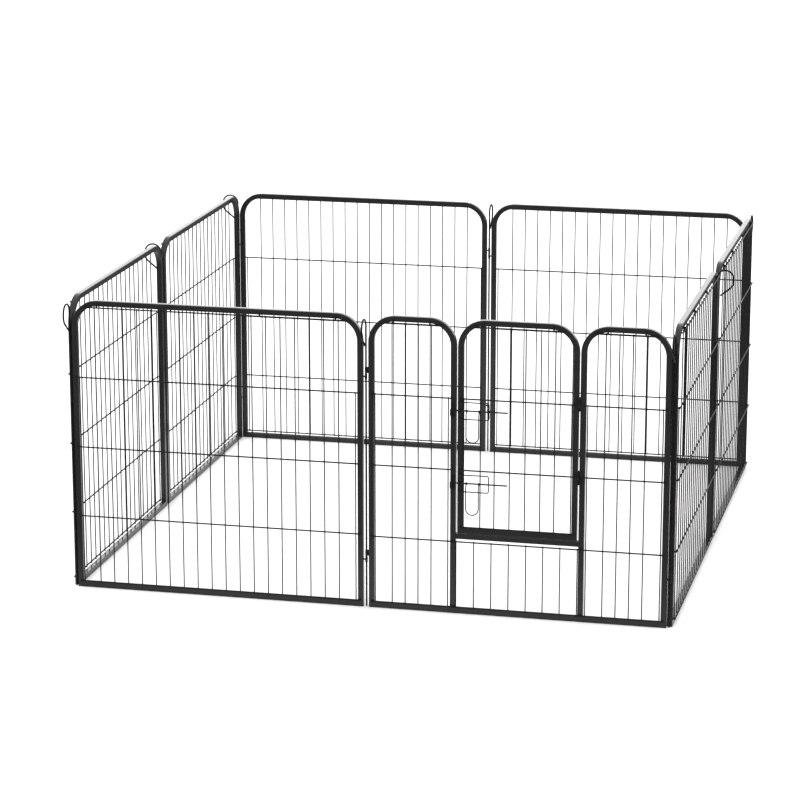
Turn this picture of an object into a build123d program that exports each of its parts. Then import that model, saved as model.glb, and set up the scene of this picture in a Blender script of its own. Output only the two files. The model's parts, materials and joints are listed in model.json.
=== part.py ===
from build123d import *
import math
import os

os.makedirs("parts", exist_ok=True)

# ---------------------------------------------------------------------------
# Pet playpen: eight tube-framed wire panels joined by eight lift-out rods.
# Millimetres, +Z up.  The origin is on the floor at the middle of the square.
# A panel is drawn once in its own frame (x along the panel from its left edge
# as seen from outside, -Y outward, z up) and then stood in its place.
# ---------------------------------------------------------------------------

# panels and tube
panel_w = 800.0  # width over the two posts
panel_h = 800.0  # height over the tube
tube = 15.0  # square tube, across the flats
wall = 1.2  # tube wall
tube_r = 1.2  # rounding on the tube's long edges
corner_r = 73.0  # outside radius of a bent top corner
joint_gap = 15.0  # between neighbouring posts, with the rod in the middle
half = tube / 2
bore = tube - 2 * wall  # inside of the tube, across the flats
rod_x = joint_gap / 2  # rod axis to post face
pitch = panel_w + joint_gap  # rod to rod
sink = 0.2  # how far a resistance weld sinks one wire into the next part
weld_y = -half + sink  # where parts welded to the tube's outer face begin

# wire mesh: the verticals lie just outside the tube's outer face and the
# horizontals run outside them, standing off the posts on short pegs
cross_d = 4.0  # horizontal wires
bar_d = 3.2  # vertical wires
peg_d = 3.6
bar_y = -(half + bar_d / 2 - sink)  # centre plane of the verticals
cross_y = bar_y - (bar_d + cross_d) / 2 + sink  # centre plane of the horizontals
bar_bottom = 17.0
short_top = 591.1  # the extra wires beside the posts stop at the fourth wire
end_lap = 7.0  # a horizontal stops this far in from the panel's edge
arch_lap = 36.0  # the top wire stops this far in, on the bent corner
peg_in = 2.5  # peg axis, in from the end of its horizontal
tab_d = 4.8
tab_top = 791.6  # the tabs run from the top wire up the face of the top rail
tab_rise = 0.4  # foot of a tab above the underside of the top wire

# wire places on a plain panel: z of the horizontals, x of the rest
cross_z = [18.8, 203.3, 396.4, 589.4, 782.0]
plain_bars = [65.1 + 39.4 * k for k in range(18)]
plain_shorts = [19.5, 780.5]
plain_tabs = [72.0, 278.0, 522.0, 728.0]

# joint eyes and rods
rod_d = 5.0
eye_od = 7.0
eye_id = rod_d + 0.1
eye_len = 16.5
left_eye_z = [141.2, 642.0]  # bottom of the eyes on a panel's left edge
right_eye_z = [122.8, 624.0]  # bottom of the eyes on its right edge
web_t = 5.0
arm_d = 4.0
arm_short = 0.7  # an arm stops this far short of the eye's hole
rod_foot = 1.0
ring_r = 24.0  # centre-line radius of the rod's pull ring
ring_z = 766.5  # centre of the ring's upper half
ring_drop = 8.0  # straight run down to the centre of its lower bend
ring_end = (-11.5, 717.3)  # y, z where the ring's free end stops beside the rod

# gate panel: two fixed arches, a door between them, a sill and a base rail
side_w = 236.0  # width of each fixed arch
side_lap = 8.0  # a side horizontal stops this far in from the arch's door edge
door_gap = 4.0
door_x0 = side_w + door_gap
door_x1 = panel_w - door_x0
sill_z = 206.0  # underside of the sill
sill_lap = 0.1  # the sill runs this far into each arch
door_z = 222.5  # underside of the door
door_cross_up = 18.3  # lowest door horizontal above the door's underside
lower_lap = 6.5  # the wires under the sill run this far over the arches

# wire places on the gate panel: z of the horizontals, x of the rest
gate_cross_z = [18.8, 199.9, 396.4, 589.4, 782.0]
side_bars = [64.8, 100.0, 135.1, 170.3]
side_shorts = [18.5, 215.7]
side_tabs = [68.0, 166.0]
lower_bars = [237.7, 285.5, 332.2, 378.7, 425.2, 470.6, 516.3, 562.3]
door_bars = [301.5, 339.0, 379.5, 420.5, 461.0, 498.5]
door_shorts = [257.2, 542.8]
door_tabs = [307.0, 493.0]

# door hinges
hinge_x = (door_x1 + panel_w - side_w) / 2
hinge_y = -9.9
hinge_z = [375.2, 572.9]  # bottom of each hinge
hinge_r = 3.6
hinge_len = 38.0
knuckle_gap = 0.4
knuckle = (hinge_len - knuckle_gap) / 2
knuckle_lift = hinge_len - knuckle  # foot of the upper knuckle
hinge_pin_d = 4.0
pin_proud = 0.6  # the pin stands this far above the upper knuckle
pin_clear = 0.05  # radial
leaf_t = 1.5
leaf_inset = 0.8  # leaf edge in from each end of its knuckle
post_leaf_off, post_leaf_w = 1.4, 7.0  # near edge from the hinge axis, width
door_leaf_off, door_leaf_w = 2.0, 6.4

# slide bolts, drawn back just clear of their keepers
bolt_z = {"lower": 361.6, "upper": 558.0}
bolt_y = -14.0
bolt_d = 4.0
bolt_x0 = 231.5
bolt_x1 = 375.2
bolt_ease = 0.5
bolt_hole_r = bolt_d / 2 + 0.06  # in the guide and the grip's sleeves

guide_x0 = 241.8
guide_len = 247.0 - guide_x0
guide_od = 7.6
guide_foot_h = 5.0
guide_foot_clear = 0.3  # between the guide's foot and the bolt

grip_d = 3.0
grip_x = [265.7, 299.6]
grip_y = -22.0
grip_drop = 83.4  # bolt axis down to the centre line of the bottom bend
grip_root = 2.75  # bolt axis to where a leg starts, within its sleeve
grip_eye_od = 6.4
grip_eye_len = 6.0

guard_d = 3.0
guard_y = -17.8
guard_x0 = door_x0 + 3.0
guard_step_x0 = door_x0 + 12.0  # the wire steps outward between these two
guard_step_x1 = door_x0 + 20.0
guard_x1 = 325.8
guard_up = 23.6
guard_down = 21.8
guard_bend_r = 4.5

keeper_d = 4.0
keeper_x = 227.7
keeper_y = -18.6
keeper_half = 17.2
keeper_bend_r = 3.5
stop_x = 222.4
stop_t = 3.6
stop_out = 5.4
stop_h = 19.2

# cylinder settings: on its base, lying along +x, and pointing outward (-y)
upright = (Align.CENTER, Align.CENTER, Align.MIN)
along_x = (0, 90, 0)
outward = (90, 0, 0)


# ---------------------------------------------------------------------------
# where the panels and rods stand
# ---------------------------------------------------------------------------
def stand(x, y, turn):
    """The place of a panel whose left-hand rod is at x, y."""
    angle = math.radians(turn)
    shift_x = rod_x * math.cos(angle)
    shift_y = rod_x * math.sin(angle)
    return Location((x + shift_x, y + shift_y, 0), (0, 0, turn))


gate_place = stand(0, -pitch, 0)
plain_places = {
    "front_left": stand(-pitch, -pitch, 0),
    "right_front": stand(pitch, -pitch, 90),
    "right_back": stand(pitch, 0, 90),
    "back_right": stand(pitch, pitch, 180),
    "back_left": stand(0, pitch, 180),
    "left_back": stand(-pitch, pitch, 270),
    "left_front": stand(-pitch, 0, 270),
}

# x and y in pitches, and the turn; turn 0 points the pull ring to the front
rod_places = {
    "front_middle": (0, -1, 0),
    "front_left_corner": (-1, -1, 0),
    "left_middle": (-1, 0, 270),
    "back_left_corner": (-1, 1, 270),
    "back_middle": (0, 1, 180),
    "back_right_corner": (1, 1, 180),
    "right_middle": (1, 0, 90),
    "front_right_corner": (1, -1, 0),
}


def put(shape, place, name):
    """Stand a shape in its place and write it as one named piece."""
    with BuildPart() as made:
        with Locations(place):
            add(shape)
    made.part.label = name
    export_step(made.part, f"parts/{name}.step")


# ---------------------------------------------------------------------------
# tube work
# ---------------------------------------------------------------------------
def on_faces(part):
    """The long edges that lie in the tube's outer and inner faces."""
    return part.edges().filter_by(lambda e: abs(abs(e.center().Y) - half) < 1e-4)


def closed_frame(x0, x1, z0, z1):
    """A tube loop: bent top corners, mitred square bottom corners, hollow."""
    middle = ((x0 + x1) / 2, (z0 + z1) / 2)
    with BuildPart() as made:
        with BuildSketch(Plane.XZ) as loop:
            with Locations(middle):
                Rectangle(x1 - x0, z1 - z0)
            fillet(loop.vertices().group_by(Axis.Y)[-1], corner_r)
            offset(amount=-tube, kind=Kind.INTERSECTION, mode=Mode.SUBTRACT)
        extrude(amount=half, both=True)
        fillet(on_faces(made), tube_r)
        with BuildSketch(Plane.XZ) as hollow:
            with Locations(middle):
                Rectangle(x1 - x0 - 2 * wall, z1 - z0 - 2 * wall)
            fillet(hollow.vertices().group_by(Axis.Y)[-1], corner_r - wall)
            offset(amount=-bore, kind=Kind.INTERSECTION, mode=Mode.SUBTRACT)
        extrude(amount=half - wall, both=True, mode=Mode.SUBTRACT)
    return made.part


def arch_band(x0, x1, z0, z1, r, depth):
    """An inverted U as a band of this depth inside the given outline."""
    with BuildSketch() as band:
        with BuildLine():
            Polyline((x0, z1 - r), (x0, z0), (x0 + depth, z0), (x0 + depth, z1 - r))
            CenterArc((x0 + r, z1 - r), r - depth, 90, 90)
            Line((x0 + r, z1 - depth), (x1 - r, z1 - depth))
            CenterArc((x1 - r, z1 - r), r - depth, 0, 90)
            Polyline((x1 - depth, z1 - r), (x1 - depth, z0), (x1, z0), (x1, z1 - r))
            CenterArc((x1 - r, z1 - r), r, 0, 90)
            Line((x1 - r, z1), (x0 + r, z1))
            CenterArc((x0 + r, z1 - r), r, 90, 90)
        make_face()
    return band.sketch


def open_arch(x0, x1, z0, z1):
    """An inverted U of tube that stands on a rail, hollow with closed feet."""
    with BuildPart() as made:
        with BuildSketch(Plane.XZ):
            add(arch_band(x0, x1, z0, z1, corner_r, tube))
        extrude(amount=half, both=True)
        fillet(on_faces(made), tube_r)
        with BuildSketch(Plane.XZ):
            add(arch_band(x0 + wall, x1 - wall, z0 + wall, z1 - wall, corner_r - wall, bore))
        extrude(amount=half - wall, both=True, mode=Mode.SUBTRACT)
    return made.part


def rail(x0, x1, z0):
    """A straight hollow tube along x with closed ends."""
    with BuildPart() as made:
        with BuildSketch(Plane.YZ.offset(x0)):
            with Locations((0, z0 + half)):
                RectangleRounded(tube, tube, tube_r)
        extrude(amount=x1 - x0)
        with BuildSketch(Plane.YZ.offset(x0 + wall)):
            with Locations((0, z0 + half)):
                Rectangle(bore, bore)
        extrude(amount=x1 - x0 - 2 * wall, mode=Mode.SUBTRACT)
    return made.part


# ---------------------------------------------------------------------------
# wire mesh
# ---------------------------------------------------------------------------
def mesh(bars, shorts, crosses, tabs, bottom):
    """Welded wire: bars upright, crosses as (z, start, end) laid over them.

    A peg ties each end of a cross to the tube behind it, and tabs tie the top
    wire to the outer face of the top rail.
    """
    with BuildPart() as made:
        top = max(z for z, start, end in crosses) + cross_d / 2
        with Locations(*[(x, bar_y, bottom) for x in bars]):
            Cylinder(bar_d / 2, top - bottom, align=upright)
        if shorts:
            with Locations(*[(x, bar_y, bottom) for x in shorts]):
                Cylinder(bar_d / 2, short_top - bottom, align=upright)
        for z, start, end in crosses:
            with Locations((start, cross_y, z)):
                Cylinder(cross_d / 2, end - start, rotation=along_x, align=upright)
            with Locations(*[(x, weld_y, z) for x in (start + peg_in, end - peg_in)]):
                Cylinder(peg_d / 2, weld_y - cross_y, rotation=outward, align=upright)
        if tabs:
            low = top - cross_d + tab_rise
            with Locations(*[(x, -(half + tab_d / 2 - sink), low) for x in tabs]):
                Cylinder(tab_d / 2, tab_top - low, align=upright)
    return made.part


def arched_crosses(heights, x0, x1, lap0=end_lap, lap1=end_lap):
    """Crosses between edges x0 and x1; the last one stops on the bent corners."""
    crosses = [(z, x0 + lap0, x1 - lap1) for z in heights[:-1]]
    crosses.append((heights[-1], x0 + arch_lap, x1 - arch_lap))
    return crosses


def mirrored(xs):
    """The same places measured from the panel's right edge."""
    return [panel_w - x for x in xs]


def plain_mesh():
    crosses = arched_crosses(cross_z, 0, panel_w)
    return mesh(plain_bars, plain_shorts, crosses, plain_tabs, bar_bottom)


def left_mesh():
    crosses = arched_crosses(gate_cross_z, 0, side_w, lap1=side_lap)
    return mesh(side_bars, side_shorts, crosses, side_tabs, bar_bottom)


def right_mesh():
    """The left mesh's wires, mirrored about the middle of the panel."""
    left = arched_crosses(gate_cross_z, 0, side_w, lap1=side_lap)
    crosses = [(z, panel_w - end, panel_w - start) for z, start, end in left]
    return mesh(
        mirrored(side_bars), mirrored(side_shorts), crosses, mirrored(side_tabs), bar_bottom
    )


def lower_mesh():
    """The wires between the base rail and the sill."""
    x0 = side_w - lower_lap
    x1 = panel_w - side_w + lower_lap
    return mesh(lower_bars, [], [(z, x0, x1) for z in gate_cross_z[:2]], [], bar_bottom)


def door_mesh():
    heights = [door_z + door_cross_up] + gate_cross_z[2:]
    crosses = arched_crosses(heights, door_x0, door_x1)
    return mesh(door_bars, door_shorts, crosses, door_tabs, door_z + bar_bottom)


# ---------------------------------------------------------------------------
# joints
# ---------------------------------------------------------------------------
def eyes(webbed):
    """The four eyes of a panel, each on a round arm from its post.

    The gate panel's left-hand eyes are carried on a full-height web instead.
    """
    reach = rod_x - eye_id / 2 - arm_short + sink
    left_eyes = [(-rod_x, 0, z) for z in left_eye_z]
    right_eyes = [(panel_w + rod_x, 0, z) for z in right_eye_z]
    with BuildPart() as made:
        with Locations(*left_eyes):
            Cylinder(eye_od / 2, eye_len, align=upright)
        if webbed:
            with Locations(*[(sink, 0, z) for z in left_eye_z]):
                Box(reach, web_t, eye_len, align=(Align.MAX, Align.CENTER, Align.MIN))
        else:
            with Locations(*[(sink - reach, 0, z + eye_len / 2) for z in left_eye_z]):
                Cylinder(arm_d / 2, reach, rotation=along_x, align=upright)
        with Locations(*right_eyes):
            Cylinder(eye_od / 2, eye_len, align=upright)
        with Locations(*[(panel_w - sink, 0, z + eye_len / 2) for z in right_eye_z]):
            Cylinder(arm_d / 2, reach, rotation=along_x, align=upright)
        with Locations(*left_eyes, *right_eyes):
            Cylinder(eye_id / 2, eye_len, align=upright, mode=Mode.SUBTRACT)
    return made.part


def joint_rod():
    """A straight wire bent at the top into a teardrop pull ring."""
    ring_y = -ring_r
    low_z = ring_z - ring_drop
    end_y, end_z = ring_end
    # the last straight runs from the free end to touch the lower bend
    reach = math.hypot(ring_y - end_y, low_z - end_z)
    aim = math.atan2(low_z - end_z, ring_y - end_y) + math.asin(ring_r / reach)
    run = math.sqrt(reach**2 - ring_r**2)
    touch_y = end_y + run * math.cos(aim)
    touch_z = end_z + run * math.sin(aim)
    touch_deg = math.degrees(math.atan2(touch_z - low_z, touch_y - ring_y)) % 360
    with BuildPart() as made:
        with BuildLine(Plane.YZ):
            Line((0, rod_foot), (0, ring_z))
            CenterArc((ring_y, ring_z), ring_r, 0, 180)
            Line((-2 * ring_r, ring_z), (-2 * ring_r, low_z))
            CenterArc((ring_y, low_z), ring_r, 180, touch_deg - 180)
            Line((touch_y, touch_z), (end_y, end_z))
        with BuildSketch(Plane.XY.offset(rod_foot)):
            Circle(rod_d / 2)
        sweep()
    return made.part


# ---------------------------------------------------------------------------
# hinges: a lower knuckle with its pin on the post, an upper one on the door
# ---------------------------------------------------------------------------
def post_knuckles():
    leaf_x = hinge_x + post_leaf_off
    leaf_h = knuckle - 2 * leaf_inset
    with BuildPart() as made:
        with Locations(*[(hinge_x, hinge_y, z) for z in hinge_z]):
            Cylinder(hinge_r, knuckle, align=upright)
        with Locations(*[(hinge_x, hinge_y, z) for z in hinge_z]):
            Cylinder(hinge_pin_d / 2, hinge_len + pin_proud, align=upright)
        with Locations(*[(leaf_x, weld_y, z + leaf_inset) for z in hinge_z]):
            Box(post_leaf_w, leaf_t, leaf_h, align=(Align.MIN, Align.MAX, Align.MIN))
    return made.part


def door_knuckles():
    leaf_x = hinge_x - door_leaf_off
    leaf_h = knuckle - 2 * leaf_inset
    feet = [z + knuckle_lift for z in hinge_z]
    with BuildPart() as made:
        with Locations(*[(hinge_x, hinge_y, z) for z in feet]):
            Cylinder(hinge_r, knuckle, align=upright)
        with Locations(*[(leaf_x, weld_y, z + leaf_inset) for z in feet]):
            Box(door_leaf_w, leaf_t, leaf_h, align=(Align.MAX, Align.MAX, Align.MIN))
        with Locations(*[(hinge_x, hinge_y, z) for z in feet]):
            Cylinder(hinge_pin_d / 2 + pin_clear, knuckle, align=upright, mode=Mode.SUBTRACT)
    return made.part


# ---------------------------------------------------------------------------
# slide bolts, each part drawn for a bolt axis at height z
# ---------------------------------------------------------------------------
def bolt(z):
    """A straight round bolt with eased ends."""
    with BuildPart() as made:
        with Locations((bolt_x0, bolt_y, z)):
            Cylinder(bolt_d / 2, bolt_x1 - bolt_x0, rotation=along_x, align=upright)
        chamfer(made.edges().filter_by(GeomType.CIRCLE), bolt_ease)
    return made.part


def guide(z):
    """A short sleeve welded to the door's post, carrying the bolt."""
    foot_out = weld_y - bolt_y - bolt_d / 2 - guide_foot_clear
    foot_align = (Align.CENTER, Align.MAX, Align.CENTER)
    with BuildPart() as made:
        with Locations((guide_x0, bolt_y, z)):
            Cylinder(guide_od / 2, guide_len, rotation=along_x, align=upright)
        with Locations((guide_x0 + guide_len / 2, weld_y, z)):
            Box(guide_len, foot_out, guide_foot_h, align=foot_align)
        with Locations((guide_x0, bolt_y, z)):
            Cylinder(
                bolt_hole_r, guide_len, rotation=along_x, align=upright, mode=Mode.SUBTRACT
            )
    return made.part


def grip(z):
    """A U-shaped pull that hangs from the bolt on two sleeves.

    Its legs step outward first, so that they hang in front of the guard.
    """
    left, right = grip_x
    bend_r = (right - left) / 2
    low = z - grip_drop + bend_r
    step = grip_root / math.sqrt(2)
    root_y = bolt_y - step
    root_z = z - step
    knee = z - (bolt_y - grip_y)  # the step outward is at 45 degrees
    with BuildPart() as made:
        with BuildLine():
            Polyline((left, root_y, root_z), (left, grip_y, knee), (left, grip_y, low))
            ThreePointArc(
                (left, grip_y, low),
                ((left + right) / 2, grip_y, low - bend_r),
                (right, grip_y, low),
            )
            Polyline((right, grip_y, low), (right, grip_y, knee), (right, root_y, root_z))
        with BuildSketch(Plane((left, root_y, root_z), z_dir=(0, -1, -1))):
            Circle(grip_d / 2)
        sweep(transition=Transition.ROUND)
        with Locations(*[(x, bolt_y, z) for x in grip_x]):
            Cylinder(grip_eye_od / 2, grip_eye_len, rotation=along_x)
        with Locations(*[(x, bolt_y, z) for x in grip_x]):
            Cylinder(bolt_hole_r, grip_eye_len, rotation=along_x, mode=Mode.SUBTRACT)
    return made.part


def guard(z):
    """A bent wire loop on the door's post that keeps the bolt against the door."""
    foot_y = -half - guard_d / 2 + sink
    up = z + guard_up
    down = z - guard_down
    with BuildPart() as made:
        with BuildLine():
            FilletPolyline(
                (guard_x0, foot_y, up),
                (guard_step_x0, foot_y, up),
                (guard_step_x1, guard_y, up),
                (guard_x1, guard_y, up),
                (guard_x1, guard_y, down),
                (guard_step_x1, guard_y, down),
                (guard_step_x0, foot_y, down),
                (guard_x0, foot_y, down),
                radius=guard_bend_r,
            )
        with BuildSketch(Plane((guard_x0, foot_y, up), z_dir=(1, 0, 0))):
            Circle(guard_d / 2)
        sweep()
    return made.part


def keeper(z):
    """A staple on the fixed post that the bolt slides under, and its end stop."""
    up = z + keeper_half
    down = z - keeper_half
    with BuildPart() as made:
        with BuildLine():
            FilletPolyline(
                (keeper_x, weld_y, up),
                (keeper_x, keeper_y, up),
                (keeper_x, keeper_y, down),
                (keeper_x, weld_y, down),
                radius=keeper_bend_r,
            )
        with BuildSketch(Plane((keeper_x, weld_y, up), z_dir=(0, -1, 0))):
            Circle(keeper_d / 2)
        sweep()
        with Locations((stop_x, weld_y, down)):
            Box(stop_t, stop_out, stop_h, align=(Align.CENTER, Align.MAX, Align.MIN))
    return made.part


# ---------------------------------------------------------------------------
# build and write every piece
# ---------------------------------------------------------------------------
plain_pieces = {
    "eyes": eyes(webbed=False),
    "frame": closed_frame(0, panel_w, 0, panel_h),
    "mesh": plain_mesh(),
}
for side, place in plain_places.items():
    for piece, shape in plain_pieces.items():
        put(shape, place, f"{side}_{piece}")

gate_pieces = {
    "gate_eyes": eyes(webbed=True),
    "gate_left_arch": open_arch(0, side_w, tube, panel_h),
    "gate_right_arch": open_arch(panel_w - side_w, panel_w, tube, panel_h),
    "gate_base_rail": rail(0, panel_w, 0),
    "gate_sill": rail(side_w - sill_lap, panel_w - side_w + sill_lap, sill_z),
    "gate_left_mesh": left_mesh(),
    "gate_right_mesh": right_mesh(),
    "gate_lower_mesh": lower_mesh(),
    "door_frame": closed_frame(door_x0, door_x1, door_z, panel_h),
    "door_mesh": door_mesh(),
    "door_hinge_post_knuckles": post_knuckles(),
    "door_hinge_door_knuckles": door_knuckles(),
}
for level, z in bolt_z.items():
    gate_pieces[f"{level}_bolt"] = bolt(z)
    gate_pieces[f"{level}_bolt_guide"] = guide(z)
    gate_pieces[f"{level}_bolt_grip"] = grip(z)
    gate_pieces[f"{level}_bolt_guard"] = guard(z)
    gate_pieces[f"{level}_bolt_keeper"] = keeper(z)
for name, shape in gate_pieces.items():
    put(shape, gate_place, name)

rod = joint_rod()
for where, (across, back, turn) in rod_places.items():
    put(rod, Location((across * pitch, back * pitch, 0), (0, 0, turn)), f"rod_{where}")
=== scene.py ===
"""A ring of eight wire-mesh panels on square-tube frames, pinned together by joint rods.

The row frame is in metres, +Z up, with the front along -Y. Six rods stand between panels
and at corners as their names say, and the front panel called the gate holds a hinged door
with two slide bolts. Shapes are modelled in millimetres in a panel's own frame: x runs
along the panel from its left edge seen from outside, -y points outward, z is up.
"""
import json
import math

import bmesh
import bpy
from mathutils import Matrix, Quaternion, Vector


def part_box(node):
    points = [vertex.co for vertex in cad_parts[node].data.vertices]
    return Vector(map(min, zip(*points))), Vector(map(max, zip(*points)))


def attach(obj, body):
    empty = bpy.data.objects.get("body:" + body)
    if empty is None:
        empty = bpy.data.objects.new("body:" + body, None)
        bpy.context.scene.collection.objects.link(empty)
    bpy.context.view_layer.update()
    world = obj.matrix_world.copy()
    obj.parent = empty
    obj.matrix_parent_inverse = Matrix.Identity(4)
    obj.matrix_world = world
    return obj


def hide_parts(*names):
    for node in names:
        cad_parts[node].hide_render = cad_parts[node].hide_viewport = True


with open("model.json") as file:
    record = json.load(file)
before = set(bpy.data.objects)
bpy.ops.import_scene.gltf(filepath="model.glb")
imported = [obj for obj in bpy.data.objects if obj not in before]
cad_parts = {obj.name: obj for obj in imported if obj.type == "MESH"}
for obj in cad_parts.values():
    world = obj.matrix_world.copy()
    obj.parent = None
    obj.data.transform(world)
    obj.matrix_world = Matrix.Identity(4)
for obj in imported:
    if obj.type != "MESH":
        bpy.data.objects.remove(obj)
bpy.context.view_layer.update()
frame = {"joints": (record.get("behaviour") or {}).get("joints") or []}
MM = 0.001

# ---------------------------------------------------------------------------
# where each panel stands
# ---------------------------------------------------------------------------
# each panel's turn about Z, degrees
TURN = {
    "front_left": 0, "gate": 0, "right_front": 90, "right_back": 90,
    "back_right": 180, "back_left": 180, "left_back": 270, "left_front": 270,
}


def standing(x, y, turn):
    return Matrix.Translation((x, y, 0)) @ Matrix.Rotation(math.radians(turn), 4, "Z")


def panel_place(side):
    """The panel's own frame, with its origin at the left edge seen from outside."""
    lo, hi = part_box("gate_base_rail" if side == "gate" else side + "_frame")
    mid = (lo + hi) / 2
    turn = TURN[side]
    x, y = {0: (lo.x, mid.y), 90: (mid.x, lo.y), 180: (hi.x, mid.y), 270: (mid.x, hi.y)}[turn]
    return standing(x, y, turn)


PLACE = {side: panel_place(side) for side in TURN}
GATE = PLACE["gate"]


def gate_box(node):
    """A gate node's box in the gate's own frame, mm."""
    lo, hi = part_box(node)
    to_gate = GATE.inverted()
    return (to_gate @ lo) / MM, (to_gate @ hi) / MM


# ---------------------------------------------------------------------------
# dimensions, mm
# ---------------------------------------------------------------------------
panel_lo, panel_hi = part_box("front_left_frame")
PANEL_W = (panel_hi.x - panel_lo.x) / MM
PANEL_H = panel_hi.z / MM
TUBE = (panel_hi.y - panel_lo.y) / MM   # width of the square tube
HALF = TUBE / 2
ROD_GAP = abs(panel_hi.x) / MM          # post face to rod axis; the rod stands at x = 0

CORNER_R = 73.0                         # outer radius of the bent top corners
TUBE_EDGE_R = 1.2
SINK = 0.2                              # how far touching parts run into each other
OUTER_Y = -HALF                         # outer face of the tube
SEAT_Y = OUTER_Y + SINK                 # where parts welded to that face begin

# welded wire mesh: crosses are horizontal and lie outside the upright bars
CROSS_D, BAR_D = 4.0, 3.2
BAR_Y = SEAT_Y - BAR_D / 2
CROSS_Y = BAR_Y - (BAR_D + CROSS_D) / 2 + SINK
BAR_BOTTOM, SHORT_TOP = 17.0, 591.1
PEG_D, PEG_INSET = 3.6, 2.5             # pegs from the tube to the cross ends
TAB_D, TAB_TOP = 4.8, 791.6             # short uprights on the top tube
END_LAP, ARCH_LAP = 7.0, 36.0           # frame's outer edge to the end of a cross
CROSS_Z = [18.8, 203.3, 396.4, 589.4, 782.0]
GATE_CROSS_Z = [18.8, 199.9, 396.4, 589.4, 782.0]

# upright places along a plain panel
PLAIN_BARS = [65.1 + 39.4 * k for k in range(18)]
PLAIN_SHORTS = [19.5, 780.5]
PLAIN_TABS = [72.0, 278.0, 522.0, 728.0]

# upright places along the gate; its right side mirrors the left
SIDE_BARS = [64.8, 100.0, 135.1, 170.3]
SIDE_SHORTS = [18.5, 215.7]
SIDE_TABS = [68.0, 166.0]
SIDE_LAP = 8.0                          # lap at a side mesh's door end
LOWER_BARS = [237.7, 285.5, 332.2, 378.7, 425.2, 470.6, 516.3, 562.3]
LOWER_LAP = 6.5                         # how far the lower mesh runs onto the arches
DOOR_BARS = [301.5, 339.0, 379.5, 420.5, 461.0, 498.5]
DOOR_SHORTS = [257.2, 542.8]
DOOR_TABS = [307.0, 493.0]
DOOR_LOW_CROSS = 18.3                   # above the bottom of the door

# joint rods and the eyes they pass through
ROD_D = 5.0
EYE_D, EYE_LEN, ARM_D = 7.0, 16.5, 4.0
EYE_BORE_R = (ROD_D + 0.1) / 2
LEFT_EYES_Z, RIGHT_EYES_Z = (141.2, 642.0), (122.8, 624.0)

# door hinges
HINGE_Z = (375.2, 572.9)
HINGE_LEN = 38.0
KNUCKLE_LEN = (HINGE_LEN - 0.4) / 2
KNUCKLE_R = 3.6
LEAF_T = 1.5

# slide bolts
BOLT_CLEARANCE = 0.06
GRIP_R = GUARD_R = 1.5
KEEPER_R = 2.0

# ---------------------------------------------------------------------------
# mesh kit
# ---------------------------------------------------------------------------
COAT, WELD = 0, 1                       # material slots of every piece


class Shape:
    """Collects points, faces and each face's material slot."""

    def __init__(self):
        self.verts, self.faces, self.slots = [], [], []

    def put(self, verts, faces, mat=COAT):
        start = len(self.verts)
        self.verts.extend(verts)
        self.faces.extend([tuple(i + start for i in face) for face in faces])
        self.slots.extend([mat] * len(faces))

    def skin(self, rings, closed=False, mat=COAT):
        """Skins a list of equal rings of points, and caps the ends of an open one."""
        n, count = len(rings[0]), len(rings)
        faces = []
        for i in range(count if closed else count - 1):
            a, b = i * n, ((i + 1) % count) * n
            for k in range(n):
                l = (k + 1) % n
                faces.append((a + k, a + l, b + l, b + k))
        if not closed:
            faces.append(tuple(range(n - 1, -1, -1)))
            faces.append(tuple((count - 1) * n + k for k in range(n)))
        self.put([point for ring in rings for point in ring], faces, mat)


def circle(centre, side, up, radius, count):
    angles = [2 * math.pi * k / count for k in range(count)]
    return [centre + (side * math.cos(a) + up * math.sin(a)) * radius for a in angles]


def bent(points, radius, steps):
    """A polyline with each inner corner rounded to this radius."""
    points = [Vector(p) for p in points]
    path = [points[0]]
    for before, corner, after in zip(points, points[1:], points[2:]):
        back, ahead = (before - corner).normalized(), (after - corner).normalized()
        angle = back.angle(ahead)
        if angle > math.pi - 0.02:      # as good as straight
            path.append(corner)
            continue
        reach = radius / math.tan(angle / 2)
        centre = corner + (back + ahead).normalized() * (radius / math.sin(angle / 2))
        start, end = corner + back * reach - centre, corner + ahead * reach - centre
        turn = start.angle(end)
        axis = start.cross(end).normalized()
        for k in range(steps + 1):
            path.append(centre + Matrix.Rotation(turn * k / steps, 3, axis) @ start)
    path.append(points[-1])
    return path


def wire(shape, points, radius, sides, chamfer):
    """A round wire along a path, with eased ends."""
    points = [Vector(p) for p in points]
    last = len(points) - 1
    tangents = [
        (points[min(i + 1, last)] - points[max(i - 1, 0)]).normalized() for i in range(last + 1)
    ]
    first = tangents[0]
    if abs(first.y) < 0.9:
        side = (Vector((0, 1, 0)) - first * first.y).normalized()
    else:
        side = first.orthogonal().normalized()
    tip_r, shoulder_r = radius - chamfer, radius - chamfer * 0.3
    rings = []
    for i, (point, tangent) in enumerate(zip(points, tangents)):
        if i:
            side = (side - tangent * side.dot(tangent)).normalized()
        # (shift along the wire, radius)
        if i == 0:
            eased = [(0, tip_r), (chamfer * 0.4, shoulder_r), (chamfer, radius)]
        elif i == last:
            eased = [(-chamfer, radius), (-chamfer * 0.4, shoulder_r), (0, tip_r)]
        else:
            eased = [(0, radius)]
        up = tangent.cross(side)
        rings += [circle(point + tangent * shift, side, up, r, sides) for shift, r in eased]
    shape.skin(rings)


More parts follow.
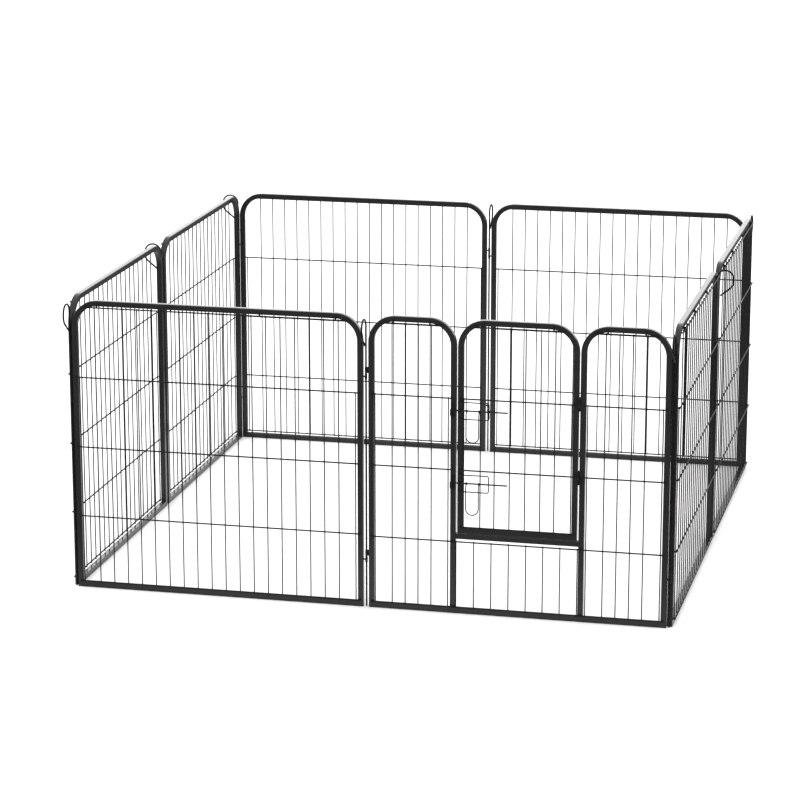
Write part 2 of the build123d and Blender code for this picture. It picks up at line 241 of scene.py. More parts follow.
def tube_section(size, radius, steps=4, hold=0.5):
    """Points (out, y) round a rounded square. A point is held close to each end of
    every corner so that the flats shade flat."""
    inner = size / 2 - radius
    section = []
    for sign_out, sign_y, degrees in ((1, 1, 0), (-1, 1, 90), (-1, -1, 180), (1, -1, 270)):
        start = math.radians(degrees)
        turns = [(start, -hold)]
        turns += [(start + math.radians(90) * k / steps, 0) for k in range(steps + 1)]
        turns += [(math.radians(degrees + 90), hold)]
        for a, slide in turns:
            section.append((
                sign_out * inner + radius * math.cos(a) - slide * math.sin(a),
                sign_y * inner + radius * math.sin(a) + slide * math.cos(a),
            ))
    return section


SECTION = tube_section(TUBE, TUBE_EDGE_R)


def sweep_tube(shape, stations, closed=False):
    """Sweeps the tube along stations (x, z, out_x, out_z) in the panel's plane."""
    rings = [
        [Vector((x + out_x * a, y, z + out_z * a)) for a, y in SECTION]
        for x, z, out_x, out_z in stations
    ]
    shape.skin(rings, closed=closed)


def arc_stations(cx, cz, radius, start, end, steps=22):
    stations = []
    for k in range(steps + 1):
        a = math.radians(start + (end - start) * k / steps)
        c, s = math.cos(a), math.sin(a)
        stations.append((cx + radius * c, cz + radius * s, c, s))
    return stations


def bent_top(x0, x1, z1):
    """Stations over the top, from just below one bent corner to just below the other."""
    r, h = CORNER_R, HALF
    return [
        (x0 + h, z1 - r - 1.0, -1, 0),
        *arc_stations(x0 + r, z1 - r, r - h, 180, 90),
        (x0 + r + 1.0, z1 - h, 0, 1), (x1 - r - 1.0, z1 - h, 0, 1),
        *arc_stations(x1 - r, z1 - r, r - h, 90, 0),
        (x1 - h, z1 - r - 1.0, 1, 0),
    ]


def loop_stations(x0, x1, z0, z1):
    """A closed loop: bent top corners and mitred bottom corners."""
    h = HALF
    return [
        (x0 + h, z0 + h, -1, -1), (x0 + h, z0 + 60, -1, 0),
        *bent_top(x0, x1, z1),
        (x1 - h, z0 + 60, 1, 0), (x1 - h, z0 + h, 1, -1),
        (x1 - 60, z0 + h, 0, -1), (x0 + 60, z0 + h, 0, -1),
    ]


def bead(shape, centre, radii, twist, rows=5, cols=9):
    """A weld bead: a squashed ball, a little uneven."""
    centre = Vector(centre)
    rx, ry, rz = radii
    verts = [centre + Vector((0, 0, -rz))]
    for i in range(1, rows):
        rise = -math.pi / 2 + math.pi * i / rows
        for k in range(cols):
            a = 2 * math.pi * k / cols + twist
            lump = 1.0 + 0.07 * math.sin(3 * a + centre.x * 0.37 + centre.z * 0.11 + i)
            flat = math.cos(rise) * lump
            verts.append(centre + Vector((
                rx * flat * math.cos(a), ry * flat * math.sin(a), rz * math.sin(rise),
            )))
    verts.append(centre + Vector((0, 0, rz)))
    faces = [(0, 1 + (k + 1) % cols, 1 + k) for k in range(cols)]
    for i in range(rows - 2):
        a, b = 1 + i * cols, 1 + (i + 1) * cols
        for k in range(cols):
            l = (k + 1) % cols
            faces.append((a + k, a + l, b + l, b + k))
    top = len(verts) - 1
    base = 1 + (rows - 2) * cols
    faces += [(base + k, base + (k + 1) % cols, top) for k in range(cols)]
    shape.put(verts, faces, WELD)


def seam(shape, start, end, radius, pitch=2.2, sides=10, rings_per_ripple=4):
    """A run of overlapping weld ripples, tapered at both ends."""
    start, end = Vector(start), Vector(end)
    along = (end - start).normalized()
    side = along.orthogonal().normalized()
    up = along.cross(side)
    total = max(2, int((end - start).length / pitch)) * rings_per_ripple
    rings = []
    for i in range(total + 1):
        ripple = 0.86 + 0.14 * abs(math.sin(math.pi * i / rings_per_ripple))
        taper = min(1.0, math.sin(math.pi * i / total) * 4 + 0.25)
        rings.append(circle(start.lerp(end, i / total), side, up, radius * ripple * taper, sides))
    shape.skin(rings, mat=WELD)


def lathe(shape, profile, origin, axis, sides=28, mat=COAT):
    """Turns a closed profile of (radius, along) about an axis."""
    origin, axis = Vector(origin), Vector(axis).normalized()
    side = axis.orthogonal().normalized()
    up = axis.cross(side)
    rings = []
    for out in circle(Vector((0, 0, 0)), side, up, 1, sides):
        rings.append([origin + axis * along + out * radius for radius, along in profile])
    shape.skin(rings, closed=True, mat=mat)


# fillet weld profiles: (beyond the wire's radius, along the wire)
PEG_FILLET = [(-0.2, 0.0), (1.3, 0.0), (0.9, 0.55), (0.2, 1.15), (-0.2, 1.2)]
ARM_FILLET = [(-0.2, 0.0), (1.2, 0.0), (0.85, 0.55), (0.25, 1.1), (-0.2, 1.2)]
ARM_TIP_FILLET = [(-0.3, 0.0), (0.2, 0.3), (0.55, 0.9), (-0.3, 0.9)]
KEEPER_FILLET = [(-0.2, 0.0), (1.1, 0.0), (0.7, 0.55), (0.05, 1.1), (-0.2, 1.2)]


def fillet(shape, wire_r, profile, origin, axis, sides=28):
    """A weld collar round a wire."""
    lathe(shape, [(wire_r + e, s) for e, s in profile], origin, axis, sides, WELD)


def sleeve(shape, origin, axis, length, outer_r, bore_r, chamfer):
    c = chamfer
    profile = [
        (bore_r, 0.35), (bore_r + 0.35, 0),
        (outer_r - c, 0), (outer_r - c * 0.3, c * 0.4), (outer_r, c),
        (outer_r, length - c), (outer_r - c * 0.3, length - c * 0.4), (outer_r - c, length),
        (bore_r + 0.35, length), (bore_r, length - 0.35),
    ]
    lathe(shape, profile, origin, axis)


def block(shape, x_span, y_span, z_span, chamfer):
    """A flat bar with eased edges all round."""
    (x0, x1), c = x_span, chamfer
    rings = []
    for x, inset in ((x0, c), (x0 + c, 0), (x1 - c, 0), (x1, c)):
        y0, y1 = y_span[0] + inset, y_span[1] - inset
        z0, z1 = z_span[0] + inset, z_span[1] - inset
        outline = [
            (y0 + c, z0), (y1 - c, z0), (y1, z0 + c), (y1, z1 - c),
            (y1 - c, z1), (y0 + c, z1), (y0, z1 - c), (y0, z0 + c),
        ]
        rings.append([Vector((x, y, z)) for y, z in outline])
    shape.skin(rings)


# ---------------------------------------------------------------------------
# materials: gloss black powder coat over steel
# ---------------------------------------------------------------------------
def add_node(tree, kind, inputs=None, **settings):
    node = tree.nodes.new(kind)
    for key, value in settings.items():
        setattr(node, key, value)
    for key, value in (inputs or {}).items():
        node.inputs[key].default_value = value
    return node


def coat(name, dark, light, rough, peel, bump, sheen, wear, lacquer=0.0):
    """peel and bump are the scale and strength of the orange peel, wear is how far
    edges turn grey, lacquer is the weight of the clear coat."""
    material = bpy.data.materials.new(name)
    material.use_nodes = True
    tree = material.node_tree
    tree.nodes.clear()
    link = tree.links.new

    out = add_node(tree, "ShaderNodeOutputMaterial")
    bsdf = add_node(tree, "ShaderNodeBsdfPrincipled", {
        "Specular IOR Level": sheen, "Coat Weight": lacquer,
        "Coat Roughness": 0.12, "Coat IOR": 1.4,
    })
    link(bsdf.outputs[0], out.inputs[0])
    coord = add_node(tree, "ShaderNodeTexCoord")

    def noise(**inputs):
        node = add_node(tree, "ShaderNodeTexNoise", inputs)
        link(coord.outputs["Object"], node.inputs["Vector"])
        return node.outputs["Fac"]

    # clouds of the two tones
    tone = add_node(
        tree, "ShaderNodeMix", {"A": (*dark, 1), "B": (*light, 1)}, data_type="RGBA")
    link(noise(Scale=9.0, Detail=4.0), tone.inputs["Factor"])

    # a little grey where the coat thins on edges
    geometry = add_node(tree, "ShaderNodeNewGeometry")
    edge = add_node(
        tree, "ShaderNodeMapRange", {"From Min": 0.53, "From Max": 0.72, "To Max": wear})
    link(geometry.outputs["Pointiness"], edge.inputs["Value"])
    patches = noise(Scale=55.0, Detail=6.0)
    worn = add_node(tree, "ShaderNodeMath", operation="MULTIPLY")
    link(edge.outputs[0], worn.inputs[0])
    link(patches, worn.inputs[1])
    tint = add_node(tree, "ShaderNodeMix", {"B": (0.11, 0.11, 0.115, 1)}, data_type="RGBA")
    link(worn.outputs[0], tint.inputs["Factor"])
    link(tone.outputs["Result"], tint.inputs["A"])
    link(tint.outputs["Result"], bsdf.inputs["Base Color"])

    # roughness drifts along the tube
    drift = add_node(tree, "ShaderNodeMapRange", {
        "From Min": 0.3, "From Max": 0.7, "To Min": rough * 0.78, "To Max": rough * 1.25,
    })
    link(patches, drift.inputs["Value"])
    link(drift.outputs[0], bsdf.inputs["Roughness"])

    # orange peel
    skin = add_node(tree, "ShaderNodeBump", {"Strength": bump, "Distance": 0.0004})
    link(noise(Scale=peel, Detail=2.5, Roughness=0.45), skin.inputs["Height"])
    link(skin.outputs[0], bsdf.inputs["Normal"])
    return material


BLACK, SOFT_BLACK = (0.004, 0.004, 0.0045), (0.007, 0.007, 0.0075)
MATERIALS = {
    "tube_coat": coat(
        "tube_coat", dark=(0.009, 0.009, 0.0095), light=(0.012, 0.012, 0.0126),
        rough=0.20, peel=620.0, bump=0.05, sheen=0.27, wear=0.10, lacquer=0.08),
    "wire_coat": coat(
        "wire_coat", dark=BLACK, light=SOFT_BLACK,
        rough=0.34, peel=900.0, bump=0.08, sheen=0.05, wear=0.10),
    "fitting_coat": coat(
        "fitting_coat", dark=BLACK, light=SOFT_BLACK,
        rough=0.30, peel=800.0, bump=0.12, sheen=0.08, wear=0.2),
    "rod_coat": coat(
        "rod_coat", dark=BLACK, light=SOFT_BLACK,
        rough=0.28, peel=850.0, bump=0.08, sheen=0.08, wear=0.2),
    "weld_coat": coat(
        "weld_coat", dark=BLACK, light=(0.008, 0.008, 0.009),
        rough=0.40, peel=420.0, bump=0.30, sheen=0.08, wear=0.2),
}


def finish_piece(shape, node, place, body, slot, name=None):
    """Turns a shape into the piece that replaces a CAD node, riding on a body."""
    name = (name or node) + "_v"
    mesh = bpy.data.meshes.new(name)
    mesh.from_pydata([tuple(place @ (v * MM)) for v in shape.verts], [], shape.faces)
    mesh.materials.append(MATERIALS[slot])
    mesh.materials.append(MATERIALS["weld_coat"])
    mesh.polygons.foreach_set("material_index", shape.slots)
    mesh.validate()
    mesh.update()
    bm = bmesh.new()
    bm.from_mesh(mesh)
    bmesh.ops.recalc_face_normals(bm, faces=bm.faces)
    bm.to_mesh(mesh)
    bm.free()
    mesh.shade_smooth()
    mesh.set_sharp_from_angle(angle=math.radians(42))
    ob = bpy.data.objects.new(name, mesh)
    bpy.context.scene.collection.objects.link(ob)
    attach(ob, body)
    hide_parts(node)


# ---------------------------------------------------------------------------
# parts that panels share
# ---------------------------------------------------------------------------
def cross_rows(levels, x0, x1, right_lap=END_LAP):
    """Crosses (z, left end, right end); the top one is shorter, between the bends."""
    rows = [(z, x0 + END_LAP, x1 - right_lap) for z in levels[:-1]]
    return rows + [(levels[-1], x0 + ARCH_LAP, x1 - ARCH_LAP)]


def mesh_shape(bars, shorts, crosses, tabs, bottom=BAR_BOTTOM):
    """Welded wire, with a weld nugget at every crossing and a peg at each cross end."""
    s = Shape()
    top = max(z for z, left, right in crosses) + CROSS_D / 2
    for x, bar_top in [(x, top) for x in bars] + [(x, SHORT_TOP) for x in shorts]:
        wire(s, [(x, BAR_Y, bottom), (x, BAR_Y, bar_top)], BAR_D / 2, sides=14, chamfer=0.35)
    for z, left, right in crosses:
        wire(s, [(left, CROSS_Y, z), (right, CROSS_Y, z)], CROSS_D / 2, sides=16, chamfer=0.4)
        for x in bars + [short for short in shorts if z < SHORT_TOP + 3]:
            if left - 1 <= x <= right + 1:
                bead(s, (x, (CROSS_Y + BAR_Y) / 2 + 0.25, z), (2.5, 1.35, 2.7), twist=x)
        for x in (left + PEG_INSET, right - PEG_INSET):
            wire(s, [(x, SEAT_Y, z), (x, CROSS_Y, z)], PEG_D / 2, sides=14, chamfer=0.15)
            fillet(s, PEG_D / 2, PEG_FILLET, (x, OUTER_Y + 0.1, z), (0, -1, 0), sides=16)
    for x in tabs:
        y = SEAT_Y - TAB_D / 2
        low = top - CROSS_D + 0.4
        wire(s, [(x, y, low), (x, y, TAB_TOP)], TAB_D / 2, sides=16, chamfer=0.7)
        for dx in (-1.9, 1.9):
            weld_x, weld_y = x + dx, OUTER_Y - 0.3
            seam(s, (weld_x, weld_y, PANEL_H - TUBE + 0.6), (weld_x, weld_y, TAB_TOP - 0.5), 0.85)
    return s


def frame_shape(x0, x1, z0, z1):
    s = Shape()
    sweep_tube(s, loop_stations(x0, x1, z0, z1), closed=True)
    # mitre welds: a fine ridge inside each bottom corner
    z = z0 + TUBE + 0.1
    for x in (x0 + TUBE + 0.1, x1 - TUBE - 0.1):
        seam(s, (x, -HALF + 2.2, z), (x, HALF - 2.2, z), 1.1)
    return s


def eye(s, x, z):
    sleeve(s, (x, 0, z), (0, 0, 1), EYE_LEN, EYE_D / 2, EYE_BORE_R, chamfer=0.4)


def arm(s, face, way, z):
    """A round arm from a post's face to the eye, with its two fillet welds."""
    r, tip = ARM_D / 2, ROD_GAP - EYE_D / 2 + 0.25
    wire(s, [(face - way * SINK, 0, z), (face + way * tip, 0, z)], r, sides=18, chamfer=0.2)
    fillet(s, r, ARM_FILLET, (face - way * 0.1, 0, z), (way, 0, 0))
    fillet(s, r, ARM_TIP_FILLET, (face + way * (tip - 1.05), 0, z), (way, 0, 0))


def web(s, z):
    """A flat web over the length of a left eye, welded to the post and the eye."""
    block(s, (-ROD_GAP + 3.2, 0.25), (-2.5, 2.5), (z + 0.1, z + EYE_LEN - 0.1), 0.5)
    for y in (-2.6, 2.6):
        seam(s, (-0.35, y, z + 1.2), (-0.35, y, z + EYE_LEN - 1.2), 0.95)
        x = -ROD_GAP + EYE_D / 2
        seam(s, (x, y * 0.9, z + 1.6), (x, y * 0.9, z + EYE_LEN - 1.6), 0.6)


def eyes_shape(webbed):
    """Four eyes on round arms, or with webs at the left edge."""
    s = Shape()
    for z in LEFT_EYES_Z:
        eye(s, -ROD_GAP, z)
        if webbed:
            web(s, z)
        else:
            arm(s, 0.0, -1, z + EYE_LEN / 2)
    for z in RIGHT_EYES_Z:
        eye(s, PANEL_W + ROD_GAP, z)
        arm(s, PANEL_W, 1, z + EYE_LEN / 2)
    return s


# ---------------------------------------------------------------------------
# the eyes of every panel, and the seven plain panels
# ---------------------------------------------------------------------------
for side, place in PLACE.items():
    body = side + "_panel"
    finish_piece(eyes_shape(side == "gate"), side + "_eyes", place, body, "fitting_coat")
    if side == "gate":
        continue
    plain_frame = frame_shape(0, PANEL_W, 0, PANEL_H)
    finish_piece(plain_frame, side + "_frame", place, body, "tube_coat")
    plain_mesh = mesh_shape(PLAIN_BARS, PLAIN_SHORTS, cross_rows(CROSS_Z, 0, PANEL_W), PLAIN_TABS)
    finish_piece(plain_mesh, side + "_mesh", place, body, "wire_coat")

# ---------------------------------------------------------------------------
# the gate's fixed frame and mesh
# ---------------------------------------------------------------------------
left_lo, left_hi = gate_box("gate_left_arch")
right_lo, right_hi = gate_box("gate_right_arch")
sill_lo, sill_hi = gate_box("gate_sill")
door_lo, door_hi = gate_box("door_frame")
SIDE_W = left_hi.x - left_lo.x


def gate_piece(shape, node, slot, body="gate_panel", name=None):
    finish_piece(shape, node, GATE, body, slot, name)


def arch_shape(x0, x1):
    """An inverted U that stands on the base rail."""
    s = Shape()
    feet = (x0 + HALF, x1 - HALF)
    sweep_tube(s, [
        (feet[0], TUBE, -1, 0), *bent_top(x0, x1, PANEL_H), (feet[1], TUBE, 1, 0),
    ])
    for x in feet:
        for y in (-HALF + 0.4, HALF - 0.4):
            seam(s, (x - HALF + 1.6, y, TUBE), (x + HALF - 1.6, y, TUBE), 0.9)
        for dx in (-HALF + 0.5, HALF - 0.5):
            z = TUBE + 0.05
            seam(s, (x + dx, -HALF + 1.8, z), (x + dx, HALF - 1.8, z), 0.8)
    return s


def rail_shape(x0, x1, z0):
    """A straight tube with eased ends."""
    s = Shape()
    rings = []
    for x, inset in ((x0, 0.5), (x0 + 0.5, 0.0), (x1 - 0.5, 0.0), (x1, 0.5)):
        scale = (TUBE - 2 * inset) / TUBE
        rings.append([Vector((x, y * scale, z0 + HALF + a * scale)) for a, y in SECTION])
    s.skin(rings)
    return s


def sill_shape():
    """The rail under the door, welded between the arches."""
    z0, z1 = sill_lo.z, sill_hi.z
    s = rail_shape(left_hi.x - 0.1, right_lo.x + 0.1, z0)
    for x in (left_hi.x + 0.2, right_lo.x - 0.2):
        for z in (z0 + 0.3, z1 - 0.3):
            seam(s, (x, -HALF + 1.8, z), (x, HALF - 1.8, z), 0.9)
        for y in (-HALF + 0.4, HALF - 0.4):
            seam(s, (x, y, z0 + 1.6), (x, y, z1 - 1.6), 0.8)
    return s


def mirrored(places):
    return [PANEL_W - x for x in places]


gate_piece(arch_shape(left_lo.x, left_hi.x), "gate_left_arch", "tube_coat")
gate_piece(arch_shape(right_lo.x, right_hi.x), "gate_right_arch", "tube_coat")
gate_piece(rail_shape(0, PANEL_W, 0), "gate_base_rail", "tube_coat")
gate_piece(sill_shape(), "gate_sill", "tube_coat")

side_rows = cross_rows(GATE_CROSS_Z, 0, SIDE_W, right_lap=SIDE_LAP)
left_mesh = mesh_shape(SIDE_BARS, SIDE_SHORTS, side_rows, SIDE_TABS)
gate_piece(left_mesh, "gate_left_mesh", "wire_coat")
right_mesh = mesh_shape(
    mirrored(SIDE_BARS), mirrored(SIDE_SHORTS),
    [(z, PANEL_W - right, PANEL_W - left) for z, left, right in side_rows],
    mirrored(SIDE_TABS),
)
gate_piece(right_mesh, "gate_right_mesh", "wire_coat")
lower_left = SIDE_W - LOWER_LAP
lower_rows = [(z, lower_left, PANEL_W - lower_left) for z in GATE_CROSS_Z[:2]]
gate_piece(mesh_shape(LOWER_BARS, [], lower_rows, []), "gate_lower_mesh", "wire_coat")

# ---------------------------------------------------------------------------
# the door
# ---------------------------------------------------------------------------
door_frame = frame_shape(door_lo.x, door_hi.x, door_lo.z, PANEL_H)
gate_piece(door_frame, "door_frame", "tube_coat", "door")
door_levels = [door_lo.z + DOOR_LOW_CROSS] + GATE_CROSS_Z[2:]
door_mesh = mesh_shape(
    DOOR_BARS, DOOR_SHORTS, cross_rows(door_levels, door_lo.x, door_hi.x), DOOR_TABS,
    bottom=door_lo.z + BAR_BOTTOM,
)
gate_piece(door_mesh, "door_mesh", "wire_coat", "door")

# ---------------------------------------------------------------------------
# hinges: pinned knuckles on the post, sleeves above them on the door
# ---------------------------------------------------------------------------
joints = {joint["name"]: joint for joint in frame["joints"]}
hinge = (GATE.inverted() @ Vector(joints["door_swing"]["pos_m"])) / MM


def leaf(s, x_span, weld_x, z):
    """A hinge leaf beside a knuckle that starts at z, with the seam at its outer end."""
    block(s, x_span, (SEAT_Y - LEAF_T, SEAT_Y), (z + 0.8, z + KNUCKLE_LEN - 0.8), 0.4)
    y = OUTER_Y - 0.35
    seam(s, (weld_x, y, z + 2.0), (weld_x, y, z + KNUCKLE_LEN - 2.0), 0.95)


def post_knuckles_shape():
    s = Shape()
    r, length = KNUCKLE_R, KNUCKLE_LEN
    # (radius, height)
    knuckle = [
        (0.01, 0), (3.1, 0), (3.45, 0.2), (r, 0.5), (r, length - 0.4), (3.3, length),
        (0.01, length),
    ]
    pin = [
        (0.01, length - 0.5), (2.0, length - 0.5), (2.0, HINGE_LEN + 0.15),
        (1.6, HINGE_LEN + 0.5), (0.01, HINGE_LEN + 0.6),
    ]
    for z in HINGE_Z:
        for profile in (knuckle, pin):
            lathe(s, profile, (hinge.x, hinge.y, z), (0, 0, 1))
        leaf(s, (hinge.x + 1.4, hinge.x + 8.4), hinge.x + 8.2, z)
    return s


def door_knuckles_shape():
    s = Shape()
    for hinge_z in HINGE_Z:
        z = hinge_z + HINGE_LEN - KNUCKLE_LEN
        origin = (hinge.x, hinge.y, z)
        sleeve(s, origin, (0, 0, 1), KNUCKLE_LEN, KNUCKLE_R, 2.05, chamfer=0.45)
        leaf(s, (hinge.x - 8.4, hinge.x - 2.0), hinge.x - 8.2, z)
    return s


gate_piece(
    post_knuckles_shape(), "door_hinge_post_knuckles", "fitting_coat",
    name="hinge_post_knuckles")
gate_piece(
    door_knuckles_shape(), "door_hinge_door_knuckles", "fitting_coat", "door",
    name="hinge_door_knuckles")


# ---------------------------------------------------------------------------
# slide bolts: lo and hi are the part's box; y, z and r are the bolt's axis and radius
# ---------------------------------------------------------------------------
def bolt_shape(lo, hi, y, z, r):
    s = Shape()
    wire(s, [(lo.x, y, z), (hi.x, y, z)], r, sides=20, chamfer=0.6)
    return s


def guide_shape(lo, hi, y, z, r):
    """A sleeve on a flat bar, welded to the door."""
    s = Shape()
    sleeve(s, (lo.x, y, z), (1, 0, 0), hi.x - lo.x, 3.8, r + BOLT_CLEARANCE, chamfer=0.45)
    block(s, (lo.x + 0.05, hi.x - 0.05), (y + r + 0.45, SEAT_Y), (z - 2.5, z + 2.5), 0.3)
    for dz in (-2.9, 2.9):
        weld_y = OUTER_Y - 0.15
        seam(s, (lo.x + 0.3, weld_y, z + dz), (hi.x - 0.3, weld_y, z + dz), 0.8)
    return s


def grip_shape(lo, hi, y, z, r):
    """A hanging U of wire on two sleeves round the bolt."""
    s = Shape()
    left, right = lo.x + 3.0, hi.x - 3.0
    bend_r = (right - left) / 2
    leg_y = lo.y + GRIP_R
    bend_z = lo.z + GRIP_R + bend_r
    knee_z = z - (y - leg_y)            # legs leave the bolt at 45 degrees
    start = 2.75 / math.sqrt(2)
    leg = [(y - start, z - start), (leg_y, knee_z), (leg_y, bend_z)]
    path = bent([(left, *point) for point in leg], 3.0, 5)
    for k in range(1, 24):
        a = math.pi + math.pi * k / 24
        x = (left + right) / 2 + bend_r * math.cos(a)
        path.append(Vector((x, leg_y, bend_z + bend_r * math.sin(a))))
    path += bent([(right, *point) for point in reversed(leg)], 3.0, 5)
    wire(s, path, GRIP_R, sides=16, chamfer=0.1)
    for x in (left, right):
        sleeve(s, (x - 3.0, y, z), (1, 0, 0), 6.0, 3.2, r + BOLT_CLEARANCE, chamfer=0.5)
        bead(s, (x, y - 2.6, z - 2.6), (1.9, 1.0, 1.0), twist=x)
    return s


def guard_shape(lo, hi):
    """A wire loop whose two ends lie on the door tube and whose far end stands off it."""
    s = Shape()
    seat_y, loop_y = OUTER_Y - GUARD_R + SINK, lo.y + GUARD_R
    x0, x1 = lo.x, hi.x - GUARD_R
    top, low = hi.z - GUARD_R, lo.z + GUARD_R
    side_path = [(x0, seat_y), (x0 + 9, seat_y), (x0 + 17, loop_y), (x1, loop_y)]
    path = [(x, y, top) for x, y in side_path] + [(x, y, low) for x, y in reversed(side_path)]
    wire(s, bent(path, 4.5, 6), GUARD_R, sides=16, chamfer=0.35)
    for z in (top, low):
        for dz in (-1.3, 1.3):
            weld_y = OUTER_Y - 0.2
            seam(s, (x0 + 0.8, weld_y, z + dz), (x0 + 9.5, weld_y, z + dz), 0.8)
    return s


def keeper_shape(lo, hi, z):
    """A wire staple round the bolt's axis and an upright flat bar beside it."""
    s = Shape()
    x, y = hi.x - KEEPER_R, lo.y + KEEPER_R
    top = hi.z - KEEPER_R
    low = z - (top - z)
    path = bent([(x, SEAT_Y, top), (x, y, top), (x, y, low), (x, SEAT_Y, low)], 3.5, 6)
    wire(s, path, KEEPER_R, sides=18, chamfer=0.2)
    for leg_z in (top, low):
        fillet(s, KEEPER_R, KEEPER_FILLET, (x, OUTER_Y + 0.1, leg_z), (0, -1, 0))
    bar_w = 3.6
    block(s, (lo.x, lo.x + bar_w), (SEAT_Y - 5.4, SEAT_Y), (z - 17.2, z + 2.0), 0.5)
    for dx in (-1.6, 1.6):
        weld_x, weld_y = lo.x + bar_w / 2 + dx, OUTER_Y - 0.2
        seam(s, (weld_x, weld_y, z - 16.0), (weld_x, weld_y, z + 0.8), 0.7)
    return s


for level in ("lower", "upper"):
    bolt = level + "_bolt"
    lo, hi = gate_box(bolt)
    bolt_z = (lo.z + hi.z) / 2
    axis = ((lo.y + hi.y) / 2, bolt_z, (hi.z - lo.z) / 2)
    guide, grip, guard, keeper = [bolt + end for end in ("_guide", "_grip", "_guard", "_keeper")]
    gate_piece(bolt_shape(lo, hi, *axis), bolt, "fitting_coat", bolt)
    gate_piece(guide_shape(*gate_box(guide), *axis), guide, "fitting_coat", "door")
    gate_piece(grip_shape(*gate_box(grip), *axis), grip, "fitting_coat", level + "_grip")
    gate_piece(guard_shape(*gate_box(guard)), guard, "fitting_coat", "door")
    gate_piece(keeper_shape(*gate_box(keeper), bolt_z), keeper, "fitting_coat")

# ---------------------------------------------------------------------------
# the joint rods: a straight leg with a hook at the top that turns outward
# ---------------------------------------------------------------------------
HOOK_R, HOOK_Z = 24.0, 766.5            # bend radius, and height of the upper bend's centre
HOOK_DROP = 8.0                         # upper to lower bend centre
HOOK_END = (-11.5, 717.3)               # y, z of the rod's free end
HOOK_STEPS = 30
ROD_TURN = {
    "front_middle": 0, "front_left_corner": 0, "left_middle": 270, "back_left_corner": 270,
    "back_middle": 180, "back_right_corner": 180, "right_middle": 90, "front_right_corner": 0,
}


def rod_place(lo, hi, turn):
    """The straight leg stands at the inner side of the rod's box."""
    mid, r = (lo + hi) / 2, ROD_D / 2 * MM
    x, y = {
        0: (mid.x, hi.y - r), 90: (lo.x + r, mid.y),
        180: (mid.x, lo.y + r), 270: (hi.x - r, mid.y),
    }[turn]
    return standing(x, y, turn)


def rod_shape(bottom):
    centre_y, low_z = -HOOK_R, HOOK_Z - HOOK_DROP
    end_y, end_z = HOOK_END
    # the tail runs straight from the free end to its tangent point on the lower bend
    reach = math.hypot(centre_y - end_y, low_z - end_z)
    aim = math.atan2(low_z - end_z, centre_y - end_y) + math.asin(HOOK_R / reach)
    run = math.sqrt(reach**2 - HOOK_R**2)
    tail_y, tail_z = end_y + run * math.cos(aim), end_z + run * math.sin(aim)
    sweep = math.atan2(tail_z - low_z, tail_y - centre_y) % (2 * math.pi)
    path = [(0, 0, bottom), (0, 0, 300), (0, 0, HOOK_Z - 2)]
    for centre_z, start, end in ((HOOK_Z, 0, math.pi), (low_z, math.pi, sweep)):
        for k in range(HOOK_STEPS + 1):
            a = start + (end - start) * k / HOOK_STEPS
            path.append((0, centre_y + HOOK_R * math.cos(a), centre_z + HOOK_R * math.sin(a)))
    path.append((0, (tail_y + end_y) / 2, (tail_z + end_z) / 2))
    path.append((0, end_y, end_z))
    s = Shape()
    wire(s, path, ROD_D / 2, sides=22, chamfer=0.7)
    return s


for where, turn in ROD_TURN.items():
    rod = "rod_" + where
    lo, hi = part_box(rod)
    finish_piece(rod_shape(lo.z / MM), rod, rod_place(lo, hi, turn), rod, "rod_coat")

# ---------------------------------------------------------------------------
# pale floor
# ---------------------------------------------------------------------------
FLOOR_HALF = 60.0                       # m
PAINTED_REFLECTION_NEAR, PAINTED_REFLECTION_FAR = 0.9, 1.7          # m from the origin, where the painted dark reflection of the floor starts and where it is full
# floor colour seen only in reflections: a painted dark reflection
PAINTED_REFLECTION_TONE = 0.12


def floor_material():
    material = bpy.data.materials.new("floor")
    material.use_nodes = True
    tree = material.node_tree
    link = tree.links.new
    bsdf = tree.nodes["Principled BSDF"]
    bsdf.inputs["Roughness"].default_value = 0.9
    bsdf.inputs["Specular IOR Level"].default_value = 0.05
    noise = add_node(tree, "ShaderNodeTexNoise", {"Scale": 1.5})
    pale = add_node(
        tree, "ShaderNodeMix", {"A": (0.86, 0.86, 0.86, 1), "B": (0.88, 0.88, 0.88, 1)},
        data_type="RGBA")
    link(noise.outputs["Fac"], pale.inputs["Factor"])
    # painted reflection: away from the centre the floor turns dark, but only as glossy rays see it,
    # so the tubes reflect a dark floor while the camera sees a pale one
    geometry = add_node(tree, "ShaderNodeNewGeometry")
    distance = add_node(tree, "ShaderNodeVectorMath", operation="LENGTH")
    link(geometry.outputs["Position"], distance.inputs[0])
    fade = add_node(
        tree, "ShaderNodeMapRange",
        {"From Min": PAINTED_REFLECTION_NEAR, "From Max": PAINTED_REFLECTION_FAR, "To Min": 0.0, "To Max": 1.0},
        interpolation_type="SMOOTHSTEP")
    link(distance.outputs["Value"], fade.inputs["Value"])
    light_path = add_node(tree, "ShaderNodeLightPath")
    painted_reflection_mask = add_node(tree, "ShaderNodeMath", operation="MULTIPLY")
    link(fade.outputs[0], painted_reflection_mask.inputs[0])
    link(light_path.outputs["Is Glossy Ray"], painted_reflection_mask.inputs[1])
    # mix in the painted dark reflection where glossy rays see the far floor
    colour = add_node(
        tree, "ShaderNodeMix", {"B": (PAINTED_REFLECTION_TONE, PAINTED_REFLECTION_TONE, PAINTED_REFLECTION_TONE, 1)}, data_type="RGBA")
    link(painted_reflection_mask.outputs[0], colour.inputs["Factor"])
    link(pale.outputs["Result"], colour.inputs["A"])
    link(colour.outputs["Result"], bsdf.inputs["Base Color"])
    return material


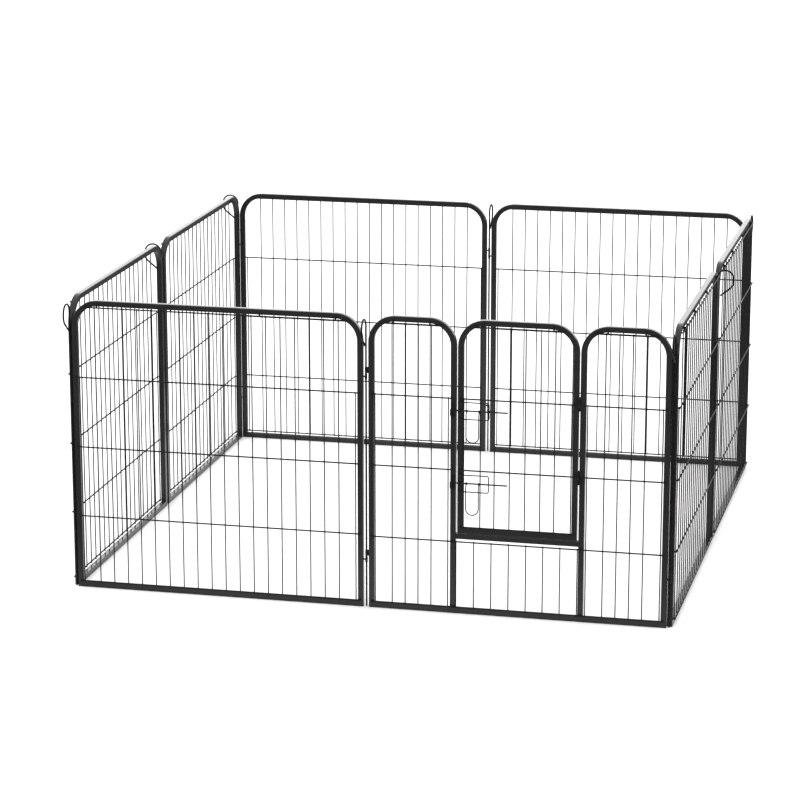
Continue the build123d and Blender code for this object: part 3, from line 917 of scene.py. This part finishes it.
scene = bpy.context.scene
floor_mesh = bpy.data.meshes.new("floor")
floor_corners = [(x * FLOOR_HALF, y * FLOOR_HALF, 0) for x, y in ((-1, -1), (1, -1), (1, 1), (-1, 1))]
floor_mesh.from_pydata(floor_corners, [], [(0, 1, 2, 3)])
floor = bpy.data.objects.new("floor", floor_mesh)
scene.collection.objects.link(floor)
floor_mesh.materials.append(floor_material())

# ---------------------------------------------------------------------------
# soft light: a white sky, greyer overhead
# ---------------------------------------------------------------------------
world = bpy.data.worlds.new("studio")
scene.world = world
world.use_nodes = True
tree = world.node_tree
background = tree.nodes["Background"]
background.inputs["Strength"].default_value = 2.5
coord = add_node(tree, "ShaderNodeTexCoord")
split = add_node(tree, "ShaderNodeSeparateXYZ")
tree.links.new(coord.outputs["Generated"], split.inputs[0])
sky = add_node(tree, "ShaderNodeValToRGB")
sky.color_ramp.interpolation = "EASE"
stops = sky.color_ramp.elements
stops[0].position, stops[0].color = 0.0, (1, 1, 1, 1)
stops[1].position, stops[1].color = 0.60, (0.62, 0.62, 0.62, 1)
stops.new(0.32).color = (1, 1, 1, 1)
tree.links.new(split.outputs["Z"], sky.inputs[0])
tree.links.new(sky.outputs[0], background.inputs["Color"])

scene.view_settings.view_transform = "Standard"
scene.view_settings.look = "None"

# ---------------------------------------------------------------------------
# camera
# ---------------------------------------------------------------------------
# radians: azimuth from +Y towards +X, angle below the horizon, roll about the view axis
AZIMUTH, DOWN, ROLL = -0.224742, 0.258713, 0.000758
cam_data = bpy.data.cameras.new("camera")
cam = bpy.data.objects.new("camera", cam_data)
scene.collection.objects.link(cam)
scene.camera = cam
forward = Vector((
    math.sin(AZIMUTH) * math.cos(DOWN), math.cos(AZIMUTH) * math.cos(DOWN), -math.sin(DOWN),
))
cam.rotation_mode = "QUATERNION"
cam.rotation_quaternion = forward.to_track_quat("-Z", "Y") @ Quaternion((0, 0, 1), ROLL)
cam.location = (1.83880, -8.34780, 2.52711)
cam_data.sensor_width = 36.0
cam_data.lens = 136.86885
cam_data.shift_x = -0.011705
cam_data.shift_y = 0.042908
cam_data.clip_start, cam_data.clip_end = 0.1, 200.0
